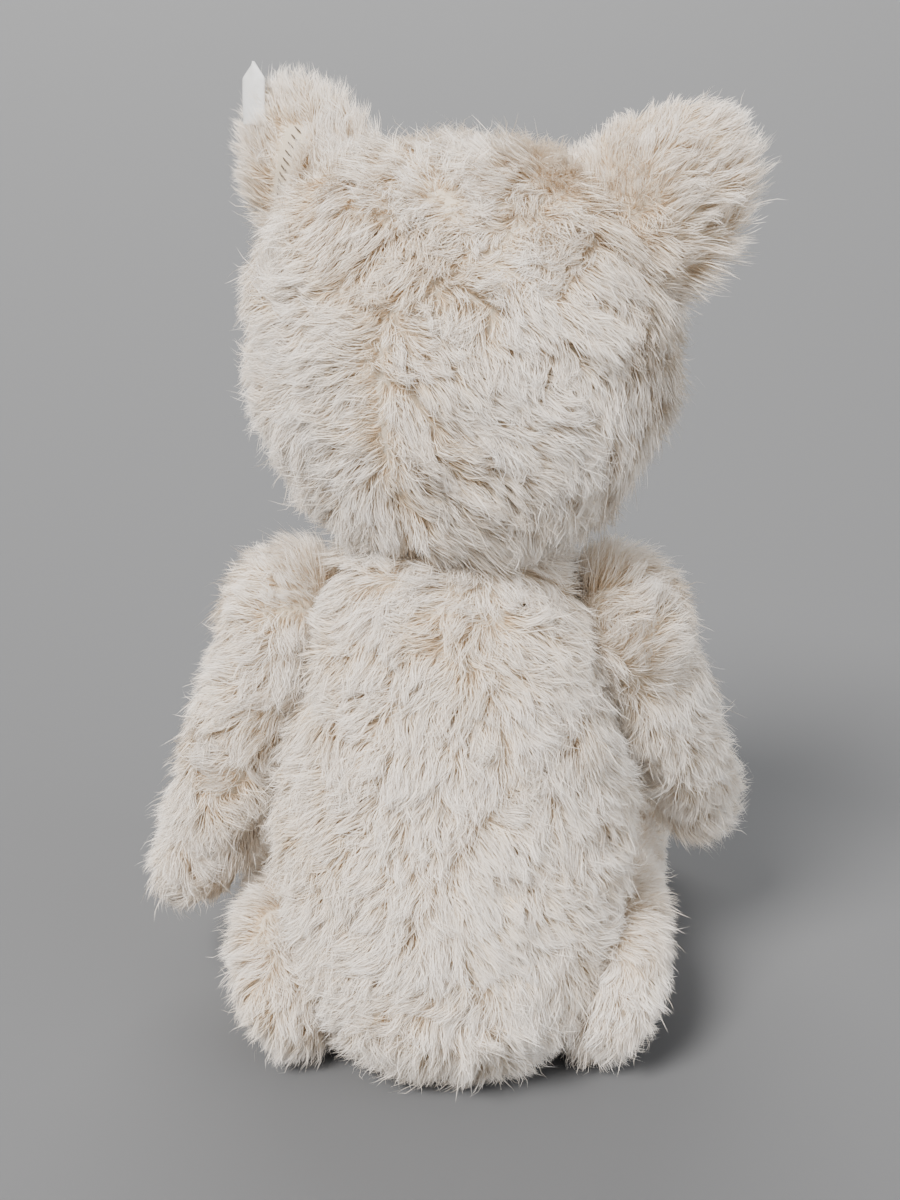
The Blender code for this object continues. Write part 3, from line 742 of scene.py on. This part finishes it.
def ear(side):
    word = SIDES[side]
    form = Form(f"ear_{word}", "head", ear_shape, NECK @ ear_frame(side), [], 1,
                sides=40, rings=24, inset=0.0015, lump=0.0003)
    finish_form(form, f"ear_{word}")

    def flow(p, n):
        d = np.zeros_like(p)
        d[:, 0] = 1.0
        d[:, :2] += p[:, :2] / 0.03 * 0.8
        if side > 0:
            near = 1 - smoothstep(to_line(p[:, :2], EAR_SEAM), 0.003, 0.011)
            near = near * (p[:, 2] > EAR_BACK)
            away = np.sign((p[:, :2] - EAR_SEAM[1]) @ np.array((0.8, 0.6)))
            d[:, :2] += (away * near * 4)[:, None] * np.array((0.8, 0.6))
        return d

    def length(p, n):
        tall = np.full(len(p), 0.0150 if side > 0 else 0.0155)
        if side > 0:
            seam = np.where(p[:, 2] > EAR_BACK, to_line(p[:, :2], EAR_SEAM), 1.0)
            tall = tall * (0.06 + 0.94 * smoothstep(seam, 0.0022, 0.0100))
        else:
            tall = tall * (1 - 0.40 * smoothstep(p[:, 1], 0.0, 0.028))
        return tall

    def warm(p):
        return spot(p, (-0.012, 0, 0.004), 0.040) * 0.9
    grow(form, flow, length, 51 + side, warm=warm, per_mm2=1.5,
         lift=(0.86, 0.30) if side > 0 else (0.80, 0.45))
    return form


EAR_SEAM = [(0.009, 0.007), (0.016, -0.003), (0.024, -0.013)]  # on the back of the left ear
EAR_BACK = -0.002       # the back of an ear is above this in its own frame
PAW = (0.1335, 0.0215, 0.0115, 0.0145)      # middle and half length, middle and half width
SOLE_OVAL = (0.0430, 0.0200, 0.0185)        # towards the toe, the heel, half width
SOLE_OUT = 0.0155 + (SOLE - 0.012) * math.tan(math.radians(SPLAY))
FORMS = {"torso": torso(), "head": head()}
for s, word in SIDES.items():
    FORMS[f"arm_{word}"] = arm(s)
    FORMS[f"leg_{word}"] = leg(s)
    FORMS[f"ear_{word}"] = ear(s)

# ---------------------------------------------------------------- face, pads and label


def put(name, verts, faces, place, mat, body, slot, *nodes):
    me = bpy.data.meshes.new(name)
    me.from_pydata([tuple(p) for p in verts], [], [tuple(f) for f in faces])
    me.transform(place)
    me.polygons.foreach_set("use_smooth", [True] * len(me.polygons))
    me.materials.append(mat)
    me.validate()
    me.update()
    ob = link(me)
    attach(ob, body)
    if nodes:
        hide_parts(*nodes)
    return ob


def surface(form):
    return BVHTree.FromPolygons([tuple(p) for p in form.v], form.faces)


def tubes(lines, radius, sides=6):
    """Round threads along lines of points, their ends closed: vertices and faces."""
    verts, faces = [], []
    for line in lines:
        line = [Vector(p) for p in line]
        first = len(verts)
        last = len(line) - 1
        for i, p in enumerate(line):
            along = (line[min(i + 1, last)] - line[max(i - 1, 0)]).normalized()
            x = along.orthogonal().normalized()
            y = along.cross(x)
            r = radius * (0.45 if i in (0, last) else 1.0)
            for j in range(sides):
                t = math.tau * j / sides
                verts.append(p + x * (r * math.cos(t)) + y * (r * math.sin(t)))
        for i in range(last):
            a, b = first + i * sides, first + (i + 1) * sides
            faces += [(a + j, a + (j + 1) % sides, b + (j + 1) % sides, b + j)
                      for j in range(sides)]
        faces.append(tuple(first + j for j in reversed(range(sides))))
        faces.append(tuple(first + last * sides + j for j in range(sides)))
    return verts, faces


def oval_pad(grid_point, rings=10, sides=40, edge=0.0012):
    """A domed cloth pad with a turned edge: grid_point(r, t) gives a point and its normal."""
    verts, faces = [], []
    for i in range(rings + 1):
        r = i / rings
        for j in range(sides):
            p, n = grid_point(r, math.tau * j / sides)
            drop = edge * max(0.0, (r - 0.82) / 0.18) ** 2
            verts.append(p - n * drop)
    for i in range(rings):
        for j in range(sides):
            a, b = i * sides + j, i * sides + (j + 1) % sides
            if i:
                faces.append((a, b, b + sides, a + sides))
            else:
                faces.append((0, b + sides, a + sides))
    start = len(verts)
    for j in range(sides):
        p, n = grid_point(1.0, math.tau * j / sides)
        verts.append(p - n * (edge + 0.0012))
    rim = rings * sides
    faces += [(rim + j, rim + (j + 1) % sides, start + (j + 1) % sides, start + j)
              for j in range(sides)]
    faces.append(tuple(start + j for j in reversed(range(sides))))
    used = sorted({i for f in faces for i in f})
    new = {old: i for i, old in enumerate(used)}
    return [verts[i] for i in used], [tuple(new[i] for i in f) for f in faces]


def mend(ob):
    """Faces of a closed piece turned outwards."""
    bm = bmesh.new()
    bm.from_mesh(ob.data)
    bmesh.ops.recalc_face_normals(bm, faces=bm.faces)
    if bm.calc_volume(signed=True) < 0:
        bmesh.ops.reverse_faces(bm, faces=bm.faces)
    bm.to_mesh(ob.data)
    bm.free()
    return ob


FELT = cloth("felt", (0.44, 0.34, 0.22), (0.66, 0.55, 0.41), 1600, 0.5, 0.95, 0.5, 120)
THREAD = cloth("embroidery_thread", (0.006, 0.0045, 0.004), (0.024, 0.017, 0.014), 2500, 0.3,
               0.5, 0.0, 300)
DARK = cloth("dark_thread", (0.05, 0.035, 0.022), (0.14, 0.10, 0.065), 2500, 0.3, 0.6, 0.1, 300)
SEWING = cloth("sewing_thread", (0.42, 0.33, 0.22), (0.62, 0.52, 0.38), 2500, 0.3, 0.6, 0.4, 300)
LABEL = cloth("label_cloth", (0.74, 0.73, 0.70), (0.90, 0.895, 0.88), 2200, 0.45, 0.8, 0.2, 200)


def glass_eye():
    """Dark glass: a black middle, brown towards the edge, with a little cloud in it."""
    mat, nodes, links, shader = material("eye_glass")
    where = nodes.new("ShaderNodeTexCoord")
    split = nodes.new("ShaderNodeSeparateXYZ")
    noise = nodes.new("ShaderNodeTexNoise")
    noise.inputs["Scale"].default_value = 180.0
    noise.inputs["Detail"].default_value = 4.0
    add = nodes.new("ShaderNodeMath")
    add.operation = "MULTIPLY_ADD"
    add.inputs[1].default_value = 0.0016
    ramp = nodes.new("ShaderNodeValToRGB")
    scale = nodes.new("ShaderNodeMapRange")
    scale.inputs["From Max"].default_value = EYE_RADIUS
    e = ramp.color_ramp.elements
    e[0].position, e[0].color = 0.30, (0.10, 0.030, 0.008, 1)
    e[1].position, e[1].color = 0.80, (0.004, 0.003, 0.003, 1)
    mid = e.new(0.70)
    mid.color = (0.050, 0.014, 0.005, 1)
    links.new(where.outputs["Object"], split.inputs[0])
    links.new(where.outputs["Object"], noise.inputs["Vector"])
    links.new(noise.outputs["Fac"], add.inputs[0])
    links.new(split.outputs["Z"], add.inputs[2])
    links.new(add.outputs[0], scale.inputs["Value"])
    links.new(scale.outputs[0], ramp.inputs["Fac"])
    links.new(ramp.outputs["Color"], shader.inputs["Base Color"])
    shader.inputs["Roughness"].default_value = 0.05
    shader.inputs["Coat Weight"].default_value = 1.0
    shader.inputs["Coat Roughness"].default_value = 0.02
    return mat


def eyes():
    mat = glass_eye()
    for side, word in SIDES.items():
        bm = bmesh.new()
        bmesh.ops.create_uvsphere(bm, u_segments=40, v_segments=24, radius=EYE_RADIUS)
        me = bpy.data.meshes.new(f"eye_{word}_ball")
        bm.to_mesh(me)
        bm.free()
        me.polygons.foreach_set("use_smooth", [True] * len(me.polygons))
        me.materials.append(mat)
        ob = link(me)
        ob.matrix_world = NECK @ eye_frame(side) @ Matrix.Translation((0, 0, EYE_OUT))
        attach(ob, "head")
        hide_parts(f"eye_{word}")


def nose():
    """Upright satin stitches side by side over a firm pad, and a stitched mouth below it."""
    centre = Vector(NOSE)
    lines, rng = [], np.random.default_rng(7)
    for i in range(25):
        x = (i - 12) / 12 * 0.97
        line = []
        for t in np.linspace(-1, 1, 15):
            z = t * math.sqrt(1 - x * x) * (0.96 + 0.04 * rng.random())
            y = -math.sqrt(max(0.0, 1.0 - x * x - z * z))
            wide = NOSE_WIDE * (1 + NOSE_FLARE * z)
            line.append(centre + Vector((x * wide, y * 0.0084, z * 0.0094)))
        lines.append(line)
    verts, faces = tubes(lines, 0.00068)
    put("nose_stitches", verts, faces, NECK, THREAD, "head", "embroidery_thread")
    bm = bmesh.new()
    bmesh.ops.create_uvsphere(bm, u_segments=36, v_segments=20, radius=1.0)
    for v in bm.verts:
        wide = NOSE_WIDE * (1 + NOSE_FLARE * v.co.z)
        v.co = centre + Vector((v.co.x * wide, v.co.y * 0.0082, v.co.z * 0.0092))
    verts, faces = [v.co.copy() for v in bm.verts], [[v.index for v in f.verts] for f in bm.faces]
    bm.free()
    put("nose_pad", verts, faces, NECK, THREAD, "head", "embroidery_thread", "nose")
    tree = surface(FORMS["head"])
    lines = []
    for a, b in MOUTH:
        line = []
        for t in np.linspace(0, 1, 10):
            x, z = a[0] + (b[0] - a[0]) * t, a[1] + (b[1] - a[1]) * t
            hit, normal, _, _ = tree.ray_cast(Vector((x, -0.3, z)), Vector((0, 1, 0)))
            sink = 0.0010 * (abs(2 * t - 1) ** 6)
            line.append(hit + normal * (0.0011 - sink))
        lines.append(line)
    verts, faces = tubes(lines, 0.00075, 8)
    put("mouth_stitches", verts, faces, NECK, THREAD, "head", "embroidery_thread")


def overcast(name, points, normals, body, place, length=0.0026, mat=None, ring=True):
    """Short slanting stitches across a seam that runs through points."""
    lines, last = [], len(points) - 1
    for i, (p, n) in enumerate(zip(points, normals)):
        before, after = points[i - 1], points[(i + 1) % len(points)]
        if not ring:
            before, after = points[max(i - 1, 0)], points[min(i + 1, last)]
        along = (after - before).normalized()
        across = (n.cross(along) + along * 0.5).normalized()
        lines.append([p + across * (length * t) + n * (0.0006 * (1 - (2 * t) ** 2))
                      for t in (-0.5, -0.25, 0.0, 0.25, 0.5)])
    verts, faces = tubes(lines, 0.00035, 6)
    return put(name, verts, faces, place, mat or SEWING, body, "embroidery_thread")


def paw_pads():
    for side, word in SIDES.items():
        form = FORMS[f"arm_{word}"]
        tree = surface(form)

        def grid_point(r, t):
            l = PAW[0] + r * math.cos(t) * PAW[1]
            y = -side * (PAW[2] + r * math.sin(t) * PAW[3])
            hit, normal, _, _ = tree.ray_cast(Vector((l, y, -0.05)), Vector((0, 0, 1)))
            if hit is None:
                hit, normal, _, _ = tree.find_nearest(Vector((l, y, 0.010)))
            return hit + normal * 0.0014, normal
        verts, faces = oval_pad(grid_point)
        pad = mend(put(f"paw_{word}_pad", verts, faces, form.place, FELT, form.body, "felt",
                       f"paw_{word}_felt"))
        ring = [grid_point(0.98, math.tau * j / 44) for j in range(44)]
        overcast(f"paw_{word}_stitches", [p - n * 0.0008 for p, n in ring],
                 [n for _, n in ring], form.body, form.place)


def sole_pads():
    for side, word in SIDES.items():
        form = FORMS[f"leg_{word}"]

        def grid_point(r, t):
            y = r * math.cos(t) * (SOLE_OVAL[0] if math.cos(t) > 0 else SOLE_OVAL[1])
            z = SOLE_OUT + r * math.sin(t) * SOLE_OVAL[2]
            dome = 0.0008 * (1 - r * r)
            return Vector((SOLE - 0.0010 + dome, -side * y, z)), Vector((1, 0, 0))
        verts, faces = oval_pad(grid_point)
        pad = mend(put(f"sole_{word}_pad", verts, faces, form.place, FELT, form.body, "felt",
                       f"sole_{word}_felt"))
        ring = [grid_point(0.985, math.tau * j / 60) for j in range(60)]
        overcast(f"sole_{word}_stitches", [p - n * 0.0008 for p, n in ring],
                 [n for _, n in ring], form.body, form.place)


def ear_seam():
    """A short row of dark stitches in a parting on the back of the left ear."""
    form = FORMS["ear_left"]
    tree = surface(form)
    points, normals = [], []
    stitches, last = 10, len(EAR_SEAM) - 2
    for i in range(stitches):
        t = i / (stitches - 1) * (last + 1)
        part = min(int(t), last)
        f = t - part
        a, b = EAR_SEAM[part], EAR_SEAM[part + 1]
        x, y = a[0] + (b[0] - a[0]) * f, a[1] + (b[1] - a[1]) * f
        hit, normal, _, _ = tree.ray_cast(Vector((x, y, 0.05)), Vector((0, 0, -1)))
        points.append(hit + normal * 0.0008)
        normals.append(normal)
    overcast("ear_left_stitches", points, normals, "head", form.place, 0.0042, DARK, False)


def label():
    """A blank woven strip with a pointed end, stitched into the rim of the left ear."""
    place = NECK @ ear_frame(1) @ Matrix.Translation((0.0485, -0.0055, -0.0030)) @ (
        Matrix.Rotation(math.radians(-40), 4, "Z") @ Matrix.Rotation(math.radians(8), 4, "Y"))
    across, up = 12, 28
    row = across + 1
    long, half_wide, thick = 0.0245, 0.0055, 0.0003
    foot, shoulder, point = -0.012, 0.006, 0.0125
    verts, faces = [], []
    for j in range(up + 1):
        x = foot + long * j / up
        half = half_wide
        if x >= shoulder:
            half = half_wide * (point - x) / (point - shoulder) + 0.00005
        for i in range(across + 1):
            u = i / across * 2 - 1
            bow = 0.0011 * (1 - u * u) + 0.0006 * math.sin((x - foot) / long * 2.6)
            verts.append(Vector((x, u * half, bow)))
    count = len(verts)
    verts += [v + Vector((0, 0, thick)) for v in verts]
    for j in range(up):
        for i in range(across):
            a = j * row + i
            quad = (a, a + row, a + row + 1, a + 1)
            faces.append(quad)
            faces.append(tuple(count + q for q in reversed(quad)))
    rim = list(range(across)) + [row * (j + 1) - 1 for j in range(up)] + [
        up * row + i for i in range(across, 0, -1)] + [row * j for j in range(up, 0, -1)]
    for a, b in zip(rim, rim[1:] + rim[:1]):
        faces.append((a, b, count + b, count + a))
    ob = mend(put("ear_label_cloth", verts, faces, place, LABEL, "head", "label_cloth",
                  "ear_label"))


eyes()
nose()
paw_pads()
sole_pads()
ear_seam()
label()

# ---------------------------------------------------------------- inner pieces


def metal():
    mat, nodes, links, shader = material("steel")
    where = nodes.new("ShaderNodeTexCoord")
    noise = nodes.new("ShaderNodeTexNoise")
    noise.inputs["Scale"].default_value = 700.0
    ramp = nodes.new("ShaderNodeValToRGB")
    ramp.color_ramp.elements[0].color = (0.36, 0.35, 0.34, 1)
    ramp.color_ramp.elements[1].color = (0.62, 0.61, 0.59, 1)
    links.new(where.outputs["Object"], noise.inputs["Vector"])
    links.new(noise.outputs["Fac"], ramp.inputs["Fac"])
    links.new(ramp.outputs["Color"], shader.inputs["Base Color"])
    shader.inputs["Metallic"].default_value = 1.0
    shader.inputs["Roughness"].default_value = 0.35
    return mat


INNER = {
    "stuffing": cloth("wood_wool", (0.50, 0.38, 0.22), (0.80, 0.69, 0.48), 500, 0.8, 0.9, 0.1, 90),
    "board": cloth("hardboard", (0.20, 0.12, 0.07), (0.38, 0.25, 0.15), 900, 0.3, 0.7, 0.0, 200),
    "steel": metal(),
}
for name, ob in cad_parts.items():
    for word, kind in (("stuffing", "stuffing"), ("board", "board"), ("washer", "steel"),
                       ("pin", "steel")):
        if name.endswith(word):
            ob.data.materials.clear()
            ob.data.materials.append(INNER[kind])

# ---------------------------------------------------------------- stage

bm = bmesh.new()
bmesh.ops.create_grid(bm, x_segments=1, y_segments=1, size=30.0)
me = bpy.data.meshes.new("floor")
bm.to_mesh(me)
bm.free()
floor = link(me)
floor.location = (0, 0, -0.0002)
mat, nodes, links, shader = material("floor")
shader.inputs["Base Color"].default_value = (0.125, 0.127, 0.131, 1)
shader.inputs["Roughness"].default_value = 0.8
floor.data.materials.append(mat)

world = bpy.data.worlds.new("studio")
scene.world = world
world.use_nodes = True
world.node_tree.nodes["Background"].inputs["Color"].default_value = (0.86, 0.885, 0.92, 1)
world.node_tree.nodes["Background"].inputs["Strength"].default_value = 0.45


def lamp(name, where, spread, power, colour, target=(0, 0.03, 0.2)):
    """A soft, even light from a direction."""
    light = bpy.data.lights.new(name, "SUN")
    light.angle = math.radians(spread)
    light.energy = power
    light.color = colour
    ob = bpy.data.objects.new(name, light)
    scene.collection.objects.link(ob)
    ob.location = where
    ob.rotation_euler = (Vector(target) - Vector(where)).to_track_quat("-Z", "Y").to_euler()


lamp("key", (0.85, 1.45, 1.9), 20, 6.4, (1.0, 0.975, 0.945))
lamp("rim", (-1.4, 1.0, 0.9), 50, 1.5, (0.92, 0.96, 1.0))
lamp("front", (0.3, -1.6, 1.3), 50, 2.5, (1.0, 0.985, 0.96))

AZIMUTH, ELEVATION, DISTANCE = 182.0, 20.0, 0.80
TARGET = Vector((-0.001, 0.0356, 0.192))
camera = bpy.data.objects.new("camera", bpy.data.cameras.new("camera"))
scene.collection.objects.link(camera)
az, el = math.radians(AZIMUTH), math.radians(ELEVATION)
off = Vector((math.sin(az) * math.cos(el), -math.cos(az) * math.cos(el), math.sin(el)))
camera.location = TARGET + off * DISTANCE
camera.rotation_euler = (-off).to_track_quat("-Z", "Y").to_euler()
camera.data.sensor_fit = "VERTICAL"
camera.data.angle = math.radians(34.0)
camera.data.clip_start = 0.01
scene.camera = camera
